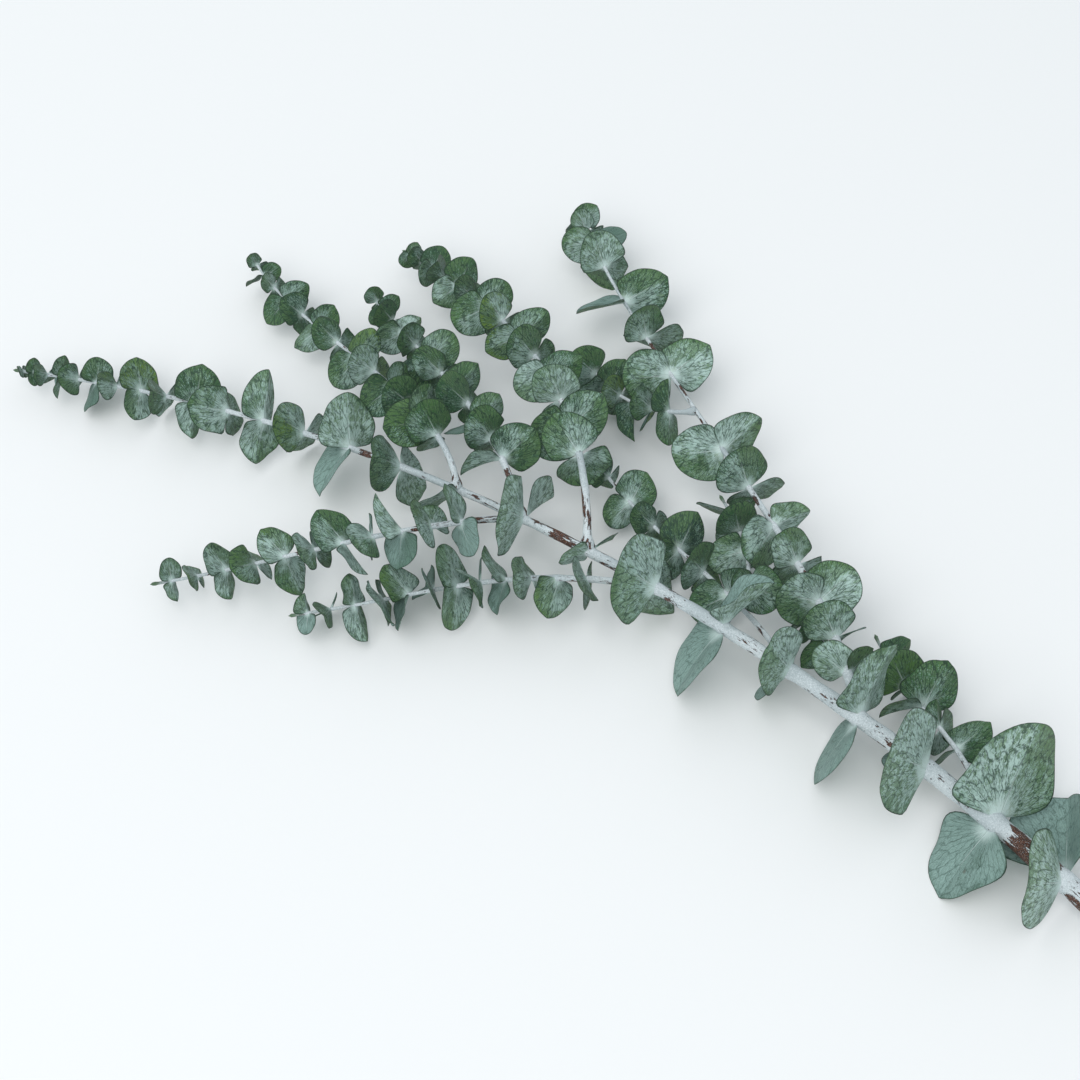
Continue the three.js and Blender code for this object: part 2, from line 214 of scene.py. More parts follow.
# Points close together along all the stems, outside their parents, with the radius there.
def stemSamples():
    places, radii, owners = [], [], []
    for stem in stems:
        count = math.ceil(stem["length"] / leafRule["sampleStep"])
        k = np.arange(count + 1)
        if "parent" in stem:
            k = k[k * leafRule["sampleStep"] > leafRule["clearOfParent"] * stem["parentRadius"]]
        places.append(curvePoint(stem, k / count))
        radii.append(radiusAt(stem, k / count))
        owners.append(np.full(len(k), stem["number"]))
    return np.concatenate(places), np.concatenate(radii), np.concatenate(owners)


# The leaf rule's own draws, each between 0 and 1: the last whole number times 16807, modulo 2^31 - 1.
def draws(seed):
    while True:
        seed = seed * 16807 % 2147483647
        yield seed / 2147483647


# 0 on the midrib, 1 and -1 on its two sides.
def halfOf(b):
    return np.where(np.abs(b) < 1e-3, 0.0, np.sign(b))


# Width of an egg-shaped disc with a broad root end, as a share of a plain disc's: z is -1 at its root.
def breadth(z):
    return 1 - leafRule["ovate"] * z + leafRule["broadRoot"] * np.minimum(0, z) ** 2


# Half the blade's width at a share of its length: that of a disc, times the breadth.
def halfWidth(leaf, share):
    z = 2 * np.clip(share, 0, 1) - 1
    return 0.5 * leaf["width"] * np.sqrt(1 - z * z) * breadth(z)


# Height over the blade's flat plane: folded up along the midrib, one half more than the other,
# arched back at both sides, curled to the tip and waved at the edge.
def lift(leaf, a, b, folded=None):
    share = a / leaf["length"]
    edge = b / (0.5 * leaf["width"])
    wave = np.sin(np.pi * leaf["waves"] * share + leaf["phase"] + halfOf(b))
    folded = np.abs(b) if folded is None else folded
    folded = folded * np.sin(leaf["fold"]) * (1 + leaf["skew"] * halfOf(b))
    bend = leaf["curl"] * share * share + (leaf["arch"] + leaf["wave"] * wave) * edge * edge
    return folded + leaf["length"] * bend


# From a place on a unit disc, whose +z is the tip, to lengths along and across the blade.
def discPlace(leaf, x, z):
    a = leaf["length"] * (0.5 + 0.5 * z)
    b = 0.5 * leaf["width"] * x * breadth(z)
    return a, b


# Points round the blade's edge: the disc's edge as lengths along and across the blade, lifted.
def bladeEdge(leaf):
    angle = 2 * np.pi * np.arange(leafRule["edgePoints"]) / leafRule["edgePoints"]
    a, b = discPlace(leaf, np.sin(angle), np.cos(angle))
    height = lift(leaf, a, b)
    return (leaf["root"] + np.outer(a, leaf["midrib"])
            + np.outer(b * math.cos(leaf["fold"]), leaf["across"]) + np.outer(height, leaf["face"]))


# The blade's directions: its midrib leans from the stem to the tip, its upper face looks to the
# tip, and it is twisted about the midrib by a share of what would lay it flat.
def placeLeaf(leaf, move):
    turnBy, tipBy, twistBy, size = move
    centre, along, side, over = leaf["frame"]
    turn = math.radians(leaf["turn"] + turnBy)
    out = over * math.cos(turn) + side * math.sin(turn)
    lean = math.radians(leaf["lean"] + tipBy - leafRule["pressed"] * max(0, out[2]))
    midrib = along * math.cos(lean) + out * math.sin(lean)
    face = along * math.sin(lean) - out * math.cos(lean)
    flat = upward - midrib * midrib[2]
    level = np.linalg.norm(flat)
    flat = flat / max(level, 1e-6)
    flat = -flat if flat @ face < 0 else flat
    across = np.cross(face, midrib)
    full = math.atan2(-(flat @ across), flat @ face)
    twist = leaf["light"] * twistBy * level * full
    turned = face * math.cos(twist) - across * math.sin(twist)
    length = leaf["length"] * size
    placed = {**leaf, "midrib": midrib, "face": turned, "across": np.cross(turned, midrib),
              "length": length, "width": leaf["widen"] * length,
              "root": centre + out * max(0, leaf["radius"] - leafRule["sink"])}
    placed["edge"] = bladeEdge(placed)
    return placed


# How far points lie from a blade's sheet, endless where they are past its edge by the margin. With
# sheets stacked, their values have one more axis than a single blade's.
def gapTo(leaf, points, margin):
    offset = points - leaf["root"][..., None, :]
    a = (offset * leaf["midrib"][..., None, :]).sum(-1)
    cos = np.cos(leaf["fold"])
    b = (offset * leaf["across"][..., None, :]).sum(-1) / cos
    away = np.abs((offset * leaf["face"][..., None, :]).sum(-1) - lift(leaf, a, b)) * cos
    past = (a < -margin) | (a > leaf["length"] + margin)
    past |= np.abs(b) > halfWidth(leaf, a / leaf["length"]) + margin
    return np.where(past, np.inf, away)


sheetValues = ["length", "width", "fold", "skew", "curl", "arch", "wave", "waves", "phase", "radius",
               "number", "pair"]
sheetVectors = ["root", "midrib", "face", "across", "edge"]


# The values of all the leaves as whole arrays, with one row for each leaf.
def stackLeaves(leaves):
    stacked = {key: np.array([leaf[key] for leaf in leaves], float)[:, None] for key in sheetValues}
    stacked.update({key: np.array([leaf[key] for leaf in leaves]) for key in sheetVectors})
    return stacked


# Whether the blade's edge comes too near another's sheet, or another's edge too near its own sheet.
# On one stem, what is near the blades' roots doesn't count.
def touchesLeaves(leaf, stacked):
    near = np.linalg.norm(stacked["root"] - leaf["root"], axis=1)
    near = near <= stacked["length"][:, 0] + leaf["length"] + leafRule["roomOthers"]
    if not near.any():
        return False
    others = {key: value[near] for key, value in stacked.items()}
    same = others["number"] == leaf["number"]
    room = np.where(same, leafRule["roomOwn"], leafRule["roomOthers"])
    isPair = same & (others["pair"] == leaf["pair"])
    free = np.where(isPair, leafRule["joinedPair"], leafRule["joinedOwn"])
    mine = np.linalg.norm(leaf["edge"] - leaf["root"], axis=1)[None] < free * leaf["length"]
    hits = (gapTo(others, leaf["edge"][None], room) < room) & ~(same & mine)
    theirs = np.linalg.norm(others["edge"] - others["root"][:, None], axis=2) < free * others["length"]
    hitBack = (gapTo(leaf, others["edge"], room) < room) & ~(same & theirs)
    return bool(hits.any() or hitBack.any())


# Whether a stem passes too near the blade's sheet or edge. Its own stem counts only away from its
# root, and only for its sheet.
def touchesStems(leaf, samples):
    points, radii, owners = samples
    away = np.linalg.norm(points - leaf["root"], axis=1)
    near = away < leaf["length"] + radii + leafRule["roomStem"]
    points, radii, away = points[near], radii[near], away[near]
    own = owners[near] == leaf["number"]
    room = radii + np.where(own, 0, leafRule["roomStem"])
    start = np.where(own, leafRule["joinedStem"] * leaf["length"] + radii, 0)
    hit = (away > start) & (gapTo(leaf, points, room) < room)
    edge = np.linalg.norm(leaf["edge"][:, None] - points[None], axis=2)
    return bool(hit.any() or (~own & (edge < room).any(0)).any())


# Every leaf in turn, each in the first of its moves that keeps clear of what stands already.
def growLeaves():
    drawn = draws(leafRule["seed"])
    samples = stemSamples()

    def draw():
        return next(drawn)

    def varied(name):
        middle, strays = leafHabit[name]
        return middle + strays * (2 * draw() - 1)

    grown, stacked = [], None
    for stem in stems:
        for k, t in enumerate(stem["places"]):
            for half in (0, 180):
                root, tip = stem["leaf"]
                full = (root + (tip - root) * t) * math.sqrt(1 - t ** leafRule["tipSharpness"])
                fold, foldMore = leafHabit["fold"]
                leaf = {
                    "number": stem["number"], "pair": k, "t": t, "frame": curveFrame(stem, t),
                    "turn": stem["turn"] + 90 * k + half + varied("turn"),
                    "lean": varied("lean"),
                    "radius": radiusAt(stem, t),
                    "length": max(leafRule["smallest"], full) * varied("size"),
                    "widen": varied("widen"),
                    "light": varied("light"),
                    "fold": math.radians(fold + foldMore * draw() ** 2),
                    "skew": varied("skew"),
                    "curl": varied("curl"),
                    "arch": varied("arch"),
                    "wave": leafHabit["wave"] * draw(),
                    "waves": varied("waves"),
                    "phase": math.pi * draw(),
                }
                for move in leafMoves:
                    placed = placeLeaf(leaf, move)
                    if placed["edge"][:, 2].min() < -leafRule["trim"]:
                        continue
                    if touchesStems(placed, samples):
                        continue
                    if stacked is not None and touchesLeaves(placed, stacked):
                        continue
                    grown.append(placed)
                    stacked = stackLeaves(grown)
                    break
    return grown


layStems()
leaves = growLeaves()
print("leaves grown:", len(leaves))


# Shader maths: a Wire is one output of a material's nodes, and an expression on Wires adds Math
# nodes. node adds any other: its kind, its settings, the values or Wires of its sockets, its output.
class Wire:
    def __init__(self, tree, socket=None):
        self.tree = tree
        self.socket = socket

    def node(self, kind, settings, sockets, output=0):
        made = self.tree.nodes.new(kind)
        for name, value in settings.items():
            setattr(made, name, value)
        for name, value in sockets.items():
            if isinstance(value, Wire):
                self.tree.links.new(value.socket, made.inputs[name])
            elif isinstance(value, (tuple, list)) and made.inputs[name].type == "RGBA":
                made.inputs[name].default_value = (*value, 1)
            else:
                made.inputs[name].default_value = value
        return Wire(self.tree, made.outputs[output])

    def math(self, operation, *values):
        return self.node("ShaderNodeMath", {"operation": operation}, dict(enumerate(values)))

    def __add__(self, other):
        return self.math("ADD", self, other)

    def __sub__(self, other):
        return self.math("SUBTRACT", self, other)

    def __rsub__(self, other):
        return self.math("SUBTRACT", other, self)

    def __mul__(self, other):
        return self.math("MULTIPLY", self, other)

    def __truediv__(self, other):
        return self.math("DIVIDE", self, other)

    __radd__ = __add__
    __rmul__ = __mul__

    def size(self):
        return self.math("ABSOLUTE", self)

    def clamped(self):
        return self.node("ShaderNodeClamp", {}, {0: self})

    # A soft step: 0 up to start, 1 from end on, and the other way round if end is less.
    def step(self, start, end):
        sockets = {0: self, 1: start, 2: end, 3: 0.0, 4: 1.0}
        return self.node("ShaderNodeMapRange", {"interpolation_type": "SMOOTHSTEP"}, sockets)

    def attribute(self, name, output=2):
        return self.node("ShaderNodeAttribute", {"attribute_name": name}, {}, output)

    def parts(self):
        made = self.node("ShaderNodeSeparateXYZ", {}, {0: self})
        return [Wire(self.tree, out) for out in made.socket.node.outputs]

    def vector(self, x, y, z):
        return self.node("ShaderNodeCombineXYZ", {}, {0: x, 1: y, 2: z})

    def noise(self, place, scale, detail=2.0, roughness=0.55, distortion=0.0):
        sockets = {"Vector": place, "Scale": scale, "Detail": detail,
                   "Roughness": roughness, "Distortion": distortion}
        return self.node("ShaderNodeTexNoise", {}, sockets)

    # 0 on the borders of irregular cells in a plane, rising inward.
    def islands(self, x, y, scale):
        settings = {"feature": "DISTANCE_TO_EDGE", "voronoi_dimensions": "2D"}
        place = self.vector(x, y, 0.0)
        return self.node("ShaderNodeTexVoronoi", settings, {"Vector": place, "Scale": float(scale)})

    def blend(self, share, first, second):
        return self.node("ShaderNodeMix", {"data_type": "RGBA"}, {0: share, 6: first, 7: second}, 2)

    def bump(self, height, distance, strength=1.0):
        sockets = {"Height": height, "Distance": distance, "Strength": strength}
        return self.node("ShaderNodeBump", {}, sockets)


# A new material: its shader's plain values are set on the sockets, and wires are joined to them.
def newMaterial(name, build):
    material = bpy.data.materials.new(name)
    material.use_nodes = True
    tree = material.node_tree
    shader = next(node for node in tree.nodes if node.type == "BSDF_PRINCIPLED")
    for socket, value in build(Wire(tree)).items():
        if isinstance(value, Wire):
            tree.links.new(value.socket, shader.inputs[socket])
        else:
            shader.inputs[socket].default_value = value
    return material


# Colours are linear. The darker, cooler green is partly the leaves' own tone and partly painted
# shade, for the shade that densely heaped leaves cast on each other.
leafFinish = {
    "green": (0.052, 0.136, 0.052), "darkGreenAndShade": (0.019, 0.054, 0.037), "young": (0.150, 0.250, 0.050),
    "paleGreen": (0.115, 0.235, 0.095), "fleck": (0.140, 0.265, 0.088), "thinWax": (0.162, 0.300, 0.215),
    "wax": (0.445, 0.600, 0.545), "chalk": (0.66, 0.76, 0.74), "underGreen": (0.045, 0.094, 0.074),
    "underWax": (0.265, 0.390, 0.355), "rim": (0.024, 0.058, 0.030), "crack": (0.020, 0.050, 0.034),
    "spot": (0.09, 0.05, 0.025),
}

# Scales are per metre, widths and depths in metres, and rays is side veins per radian. A fan of cells
# has its stretch round the root, its stretch outward, how far both are bent, and its scale.
leafPattern = {
    "broad": 95, "mottle": 330, "grain": 1500, "streak": 1900, "streakTurn": 0.026, "streakReach": 0.16,
    "bend": 420, "bendSize": 0.004, "crackle": 560, "rootOffset": 0.0015,
    "wander": (0.020, 0.35, 0.5, -0.5, 900), "branch": (0.020, 0.26, 0.6, -0.4, 420),
    "hair": (0.024, 0.22, 0.5, 0.4, 1250),
    "middle": 0.002, "thinRim": 0.004, "rimLine": (0.0006, 0.00015), "midrib": (0.00045, 0.0001),
    "rays": 1.75, "ray": (0.00022, 0.00004), "spots": 70, "spotPatches": 23, "depth": 0.00024,
}


# Everything that the leaf's colours are worked out from: its place, its noises and its fans of cells,
# whose coordinates are the angle round the root and the distance from it.
def leafPatterns(net):
    look = leafPattern
    a, b, shift = net.attribute("leafPlace", 1).parts()
    place = net.vector(a, b, shift)
    radius = net.math("SQRT", a * a + b * b)
    angle = net.math("ARCTAN2", b, a + look["rootOffset"])
    bend = net.noise(place, look["bend"], 2, 0.6) * look["bendSize"]

    def fan(turn, reach, bendTurn, bendReach, scale):
        x = angle * turn + bend * bendTurn + shift
        return net.islands(x, radius * reach + bend * bendReach, scale)

    streakPlace = net.vector(angle * look["streakTurn"] + bend * 0.3, radius * look["streakReach"], shift)
    return SimpleNamespace(
        place=place, b=b, shift=shift, radius=radius, angle=angle,
        share=radius / net.attribute("leafLength"),
        broad=net.noise(place, look["broad"], 2, 0.55, 0.4),
        mottle=net.noise(place, look["mottle"], 2, 0.6, 0.6),
        grain=net.noise(place, look["grain"], 2, 0.65, 1.0),
        streak=net.noise(streakPlace, look["streak"], 3, 0.7, 0.5),
        crackle=net.islands(a + bend + shift, b - bend, look["crackle"]),
        wander=fan(*look["wander"]), branch=fan(*look["branch"]), hair=fan(*look["hair"]))


# Wax lies on the green as islands between fine wandering lines, and the lines widen until the green
# shows through. It is thick at the root and on chalky leaves, thin toward the rim, in rubbed patches
# and on one half of the blade. Returns where it covers the green and how thick it is.
def leafWax(net, at, wax, rim, half):
    cover = wax + 0.5 * at.share.step(0.5, 0.1) + 0.5 * half - 0.4 * at.broad.step(0.46, 0.64)
    cover = cover - 0.25 * rim.step(leafPattern["thinRim"], 0.0) - 0.2 * at.share.step(0.7, 1.0)
    cover = cover + (at.mottle - 0.5) * 0.6
    lines = net.math("MINIMUM", at.crackle * 1.5, at.wander * 1.5)
    lines = lines + (at.grain - 0.5) * 0.3 + (at.streak - 0.5) * 1.2
    film = (lines - 0.23 + cover * 0.5).step(0.0, 0.09)
    thick = (cover + (at.grain - 0.5) * 0.6 + (at.streak - 0.5) * 0.8).clamped()
    return film, thick


# Dark lines that branch away from the root, fainter on chalky leaves and broken up by the mottle.
def leafLines(net, at, wax):
    fine = net.math("MAXIMUM", at.wander.step(0.15, 0.05) * 0.8, at.hair.step(0.22, 0.07) * 0.75)
    broken = (at.mottle + (at.streak - 0.5) * 0.9).step(0.36, 0.58)
    dark = fine * broken * 0.75 + at.branch.step(0.10, 0.04) * (0.55 + 0.45 * broken)
    return dark.clamped() * at.share.step(0.08, 0.28) * (1.15 - 0.25 * wax).clamped()


# The white midrib and the side veins that leave the root as rays, and where a ray has cracked dark.
def leafVeins(net, at):
    look = leafPattern
    bent = at.angle.size() + (at.broad - 0.5) * 0.4
    ray = (net.math("FRACT", bent * look["rays"] + 0.5) - 0.5).size() * at.radius
    side = ray.step(*look["ray"]) * at.share.step(0.02, 0.08)
    midrib = at.b.size().step(*look["midrib"])
    vein = net.math("MAXIMUM", midrib * at.share.step(0.8, 0.1), side * at.share.step(0.5, 0.1) * 0.6)
    cracked = side * at.share.step(0.15, 0.3) * at.broad.step(0.48, 0.56)
    return vein, cracked


# The leaf from its green up: wax, flecks and dark lines on the upper face, a duller film below, and
# on both white root and veins, cracks, a thin dark rim and a few brown spots.
def leafSurface(net):
    look = leafPattern
    colours = leafFinish
    wax, green, rim = net.attribute("leafKind", 1).parts()
    upper = net.attribute("leafUpper")
    at = leafPatterns(net)
    half = (at.b.step(-look["middle"], look["middle"]) - 0.5) * net.math("SINE", at.shift * 13)
    film, thick = leafWax(net, at, wax, rim, half)
    dark = leafLines(net, at, wax)
    vein, cracked = leafVeins(net, at)
    flecks = (at.streak + (at.mottle - 0.5) * 0.7 + at.share * 0.2 - 0.14 * half).step(0.61, 0.66)

    # The base runs from the darker green, partly painted shade, to green as the leaf's green value rises.
    base = net.blend(green.clamped(), colours["darkGreenAndShade"], colours["green"])
    base = net.blend((wax * 1.1 - 0.25).clamped() * 0.7, base, colours["paleGreen"])
    base = net.blend((green - 1).clamped(), base, colours["young"])
    base = net.blend(at.mottle.step(0.35, 0.7) * 0.2, base, colours["thinWax"])
    pale = net.blend(thick, colours["thinWax"], colours["wax"])
    top = net.blend(film * 0.95, base, pale)
    top = net.blend(flecks * 0.6, top, colours["fleck"])
    top = net.blend(dark * 0.85, top, colours["crack"])

    below = net.blend(0.3 + 0.4 * at.mottle, colours["underGreen"], colours["thinWax"])
    below = net.blend((0.5 + 0.5 * film) * (0.3 + 0.6 * thick), below, colours["underWax"])
    belowLines = at.hair.step(0.18, 0.06) * 0.3 + at.branch.step(0.09, 0.03) * 0.4
    below = net.blend(belowLines * at.share.step(0.05, 0.3), below, colours["underGreen"])

    colour = net.blend(upper, below, top)
    rootWax = (at.share + (at.streak - 0.5) * 0.3).step(0.26, 0.02)
    white = net.math("MAXIMUM", rootWax * 0.75, vein * (1 - cracked) * 0.55)
    colour = net.blend(white, colour, colours["chalk"])
    colour = net.blend(cracked * 0.8, colour, colours["crack"])
    rimLine = rim.step(*look["rimLine"]) * at.share.step(0.15, 0.3)
    colour = net.blend(rimLine * 0.85, colour, colours["rim"])
    cells = net.node("ShaderNodeTexVoronoi", {}, {"Vector": at.place, "Scale": look["spots"]})
    spots = cells.step(0.14, 0.08) * net.noise(at.place, look["spotPatches"], 1).step(0.62, 0.68)
    colour = net.blend(spots * 0.8, colour, colours["spot"])

    roughness = 0.62 - 0.18 * (1 - film) * upper + 0.1 * (at.grain - 0.5)
    height = film * 0.6 + vein * (1 - 2 * upper) * 0.8 + at.grain * 0.3 - cracked * 0.7
    height = height + at.mottle * 0.8 - dark * 0.9
    return {"Base Color": colour, "Roughness": roughness, "Specular IOR Level": 0.28,
            "Sheen Weight": 0.03, "Sheen Roughness": 0.6, "Normal": net.bump(height, look["depth"], 0.9)}


barkFinish = {
    "wax": (0.66, 0.71, 0.725), "greyWax": (0.40, 0.46, 0.475), "brown": (0.150, 0.068, 0.042),
    "darkBrown": (0.035, 0.02, 0.018), "bud": (0.09, 0.15, 0.085),
    "wood": (0.52, 0.42, 0.27), "woodRing": (0.33, 0.23, 0.13),
}

# Scales are per metre, widths and depths in metres.
barkPattern = {
    "patch": 330, "patchStretch": 0.22, "ragged": 1500, "broad": 55, "speck": 2400,
    "dots": 330, "dotPatches": 160, "scratch": 1100, "scratchStretch": 0.3, "scratchPatches": 90,
    "nodeBand": (0.007, 0.001), "cut": (0.0004, 0.0001), "ring": 9000, "ringWander": 0.0004,
    "depth": 0.00025,
}


# Chalky wax with flaked patches of red-brown bark, stretched along the stem, fewer at the nodes,
# and small dark dots and scratches. The cut end shows wood with rings.
def barkSurface(net):
    look = barkPattern
    colours = barkFinish
    place = net.attribute("barkPlace", 1)
    along, across, over = place.parts()
    nodeGap, age, bud = net.attribute("barkKind", 1).parts()
    patch = net.noise(net.vector(along * look["patchStretch"], across, over), look["patch"], 4, 0.62, 0.3)
    ragged = net.noise(place, look["ragged"], 3, 0.7)
    broad = net.noise(net.vector(along * 0.5, across * 0.4, over * 0.4), look["broad"], 1)
    bare = patch + (ragged - 0.5) * 0.16 + (broad - 0.5) * 0.4 - 0.25 * nodeGap.step(*look["nodeBand"])
    bare = bare + 0.055 * age.step(0.7, 0.3) + 0.085 * age.step(0.84, 0.93)
    flake = bare.step(0.595, 0.61)
    edge = (bare.step(0.58, 0.60) - bare.step(0.62, 0.64)).clamped()
    speck = net.noise(place, look["speck"], 2, 0.6).step(0.60, 0.68)
    dots = net.node("ShaderNodeTexVoronoi", {}, {"Vector": place, "Scale": look["dots"]}).step(0.16, 0.10)
    dots = dots * net.noise(place, look["dotPatches"], 1).step(0.50, 0.58)
    stretched = net.vector(along * look["scratchStretch"], across, over)
    scratch = net.noise(stretched, look["scratch"], 3, 0.65, 0.3).step(0.60, 0.63)
    scratch = scratch * net.noise(place, look["scratchPatches"], 1).step(0.46, 0.58)
    marks = (edge * 0.75 + dots * 0.8 + scratch * 0.8).clamped()

    chalky = (ragged * 0.5 + broad * 0.5).step(0.38, 0.62)
    chalk = net.blend(chalky, colours["greyWax"], colours["wax"])
    brown = net.blend(ragged.step(0.35, 0.65), colours["darkBrown"], colours["brown"])
    brown = net.blend(speck * 0.6, brown, colours["wax"])
    colour = net.blend(flake, chalk, brown)
    colour = net.blend(marks, colour, colours["darkBrown"])
    colour = net.blend(bud, colour, colours["bud"])
    rings = net.math("SQRT", across * across + over * over) + look["ringWander"] * ragged
    ringed = net.math("SINE", rings * look["ring"]).step(-0.2, 0.9)
    wood = net.blend(ringed, colours["wood"], colours["woodRing"])
    colour = net.blend(along.step(*look["cut"]), colour, wood)
    height = (1 - flake) * 0.8 + ragged * 0.4 + broad * 0.3
    return {"Base Color": colour, "Roughness": 0.72 - 0.12 * flake, "Specular IOR Level": 0.3,
            "Normal": net.bump(height, look["depth"], 0.9)}


leafMaterial = newMaterial("waxyLeaf", leafSurface)
barkMaterial = newMaterial("waxedBark", barkSurface)
print("materials made")


# A closed sheet: an upper and a lower grid that share their rim and the points at both ends.
# Returns its triangles, which of them are on the upper grid, and the points that are used.
def sheetTriangles(rows, columns):
    upper = np.arange((rows + 1) * (columns + 1)).reshape(rows + 1, columns + 1)
    upper[0, :], upper[-1, :] = upper[0, 0], upper[-1, 0]
    lower = upper + upper.size
    lower[:, [0, -1]], lower[[0, -1], :] = upper[:, [0, -1]], upper[[0, -1], :]
    made, isUpper = [], []
    for grid, flip in ((upper, False), (lower, True)):
        p, q, r, s = grid[:-1, :-1], grid[:-1, 1:], grid[1:, 1:], grid[1:, :-1]
        for corners in ((p, q, r), (p, r, s)):
            triangles = np.stack(corners[::-1] if flip else corners, -1).reshape(-1, 3)
            made.append(triangles)
            isUpper.append(np.full(len(triangles), not flip))
    made, isUpper = np.concatenate(made), np.concatenate(isUpper)
    whole = (made[:, 0] != made[:, 1]) & (made[:, 1] != made[:, 2]) & (made[:, 2] != made[:, 0])
    used, triangles = np.unique(made[whole], return_inverse=True)
    return triangles.reshape(-1, 3), isUpper[whole], used


# A mesh object at the origin from whole arrays, in metres, smooth, with its own attributes.
def meshPiece(name, points, triangles, material, pointVectors, faceValues=None):
    mesh = bpy.data.meshes.new(name)
    mesh.vertices.add(len(points))
    mesh.vertices.foreach_set("co", (points * mm).astype(np.float32).ravel())
    mesh.loops.add(triangles.size)
    mesh.loops.foreach_set("vertex_index", triangles.astype(np.int32).ravel())
    mesh.polygons.add(len(triangles))
    mesh.polygons.foreach_set("loop_start", np.arange(0, triangles.size, 3, dtype=np.int32))
    mesh.polygons.foreach_set("use_smooth", np.ones(len(triangles), bool))
    for key, values in pointVectors.items():
        attribute = mesh.attributes.new(key, "FLOAT_VECTOR", "POINT")
        attribute.data.foreach_set("vector", values.astype(np.float32).ravel())
    for key, values in (faceValues or {}).items():
        attribute = mesh.attributes.new(key, "FLOAT", "FACE")
        attribute.data.foreach_set("value", values.astype(np.float32).ravel())
    mesh.update(calc_edges=True)
    mesh.validate()
    mesh.materials.append(material)
    piece = bpy.data.objects.new(name, mesh)
    bpy.context.scene.collection.objects.link(piece)
    return piece


# In millimetres and shares of the blade. point and lobe are the least and most of each.
bladeShape = {
    "rows": 22, "halfColumns": 8, "crowding": 1.7, "seed": 77, "fullLength": 40,
    "thickness": 0.45, "rootThickness": 0.5, "rootReach": 2.2, "crease": 1.0, "ripple": 0.022,
    "point": [-0.01, 0.09], "pointWidth": 0.17, "lobe": [0.0, 0.09], "lobeAngle": 0.62, "lobeWidth": 0.26,
    "pucker": 0.010, "rimRoll": 0.022, "midribHeight": 0.45, "midribWidth": 1.0, "grooveDepth": 0.16,
    "smallestShare": 0.8, "waxSpread": 0.26, "youngFrom": 0.93, "placeSpread": 20,
}


# A blade's sheet on a grid. Rows run from root to tip as the cosine of the row, columns across as a
# power of the sine, so that both crowd at the edges and the columns also at the midrib. Its outline
# is the egg-shaped disc, reached out by a few cosines, a tip point and two root lobes. Its height
# is the rule's fold, arch, curl and wave, plus puckers and a rolled rim that grow with the disc
# radius. Its two faces stand off that middle sheet by a lens that thins to the edge and thickens at
# the root, with a rib under the midrib and a groove over it.
def bladePoints(blades, look, random):
    count = len(blades)
    leaf = {key: np.array([one[key] for one in blades], float)[:, None, None] for key in sheetValues}
    root, midrib, face, across = (
        np.array([one[key] for one in blades])[:, None, None, :] for key in sheetVectors[:4])

    def each(low, high):
        return random.uniform(low, high, (count, 1, 1))

    row = np.linspace(0, 1, look["rows"] + 1)[None, :, None]
    column = np.linspace(-1, 1, 2 * look["halfColumns"] + 1)[None, None, :]
    x = np.sign(column) * np.sin(0.5 * np.pi * np.abs(column)) ** look["crowding"] * np.sin(np.pi * row)
    z = -np.cos(np.pi * row) * np.ones_like(column)
    disc = np.minimum(1, np.hypot(x, z))
    angle = np.arctan2(x, z)
    fromRoot = np.pi - np.abs(angle)
    reach = np.zeros((count, *x.shape[1:]))
    for k in range(2, 7):
        reach = reach + each(0.3, 1) * look["ripple"] / (k - 0.6) * 2 * np.cos(k * angle + each(0, 6.3))
    reach = reach * (1 - np.exp(-(fromRoot / 0.5) ** 2))
    reach = reach + each(*look["point"]) * np.exp(-(angle / look["pointWidth"]) ** 2)
    fromLobe = (fromRoot - look["lobeAngle"]) / look["lobeWidth"]
    reach = reach + each(*look["lobe"]) * np.exp(-fromLobe**2)
    grow = 1 + disc**2 * reach
    a, b = discPlace(leaf, x * grow, z * grow)

    scale = leaf["length"] / look["fullLength"]
    crease = look["crease"] * scale
    height = lift(leaf, a, b, np.sqrt(b * b + crease * crease) - crease)
    u, v = a / leaf["length"], b / leaf["width"]
    wander = each(0, 6.3) + 7 * u + 1.5 * np.sin(each(5, 8) * v + each(0, 6.3))
    pucker = np.sin(wander) * np.sin(each(0, 6.3) + each(6, 11) * v + 3 * u)
    roll = each(-look["rimRoll"], 0.6 * look["rimRoll"]) * disc**7
    height = height + leaf["length"] * (look["pucker"] * pucker * disc**1.5 + roll)
    cos = np.cos(leaf["fold"])
    middle = root + a[..., None] * midrib + (b * cos)[..., None] * across + height[..., None] * face

    middle[..., 2] = np.maximum(middle[..., 2], 0.4 * look["thickness"])
    normal = np.cross(np.gradient(middle, axis=2), np.gradient(middle, axis=1))
    normal /= np.maximum(np.linalg.norm(normal, axis=3, keepdims=True), 1e-9)
    lens = np.sqrt(1 - disc**8)
    flare = look["rootThickness"] * np.exp(-a / look["rootReach"])
    half = lens * (0.5 * look["thickness"] * (0.6 + 0.4 * scale) + flare)
    rib = np.exp(-(b / look["midribWidth"]) ** 2) * (1 - 0.8 * np.clip(u, 0, 1)) * lens * scale
    upperSide = middle + normal * (half - look["grooveDepth"] * rib)[..., None]
    lowerSide = middle - normal * (half + look["midribHeight"] * rib)[..., None]
    sides = np.stack([upperSide, lowerSide], 1)
    sides[..., 2] = np.maximum(sides[..., 2], 0)

    # A blade that would pass the box of the solids shrinks toward its root.
    low, high = (np.array(corner) / mm for corner in cadBox)
    anchor = root[:, None]
    far = sides - anchor
    highest, lowest = far.max((1, 2, 3)), far.min((1, 2, 3))
    room = np.minimum((high - anchor[:, 0, 0, 0]) / highest, (low - anchor[:, 0, 0, 0]) / lowest)
    shrink = np.clip(room.min(1), look["smallestShare"], 1)[:, None, None, None, None]
    sides = anchor + far * shrink
    # For the pattern, in metres: along and across the flat blade, and in from its rim.
    flat = np.stack([a, b, (1 - disc) * 0.5 * leaf["length"] * np.ones_like(a)], -1) * mm
    return sides, flat
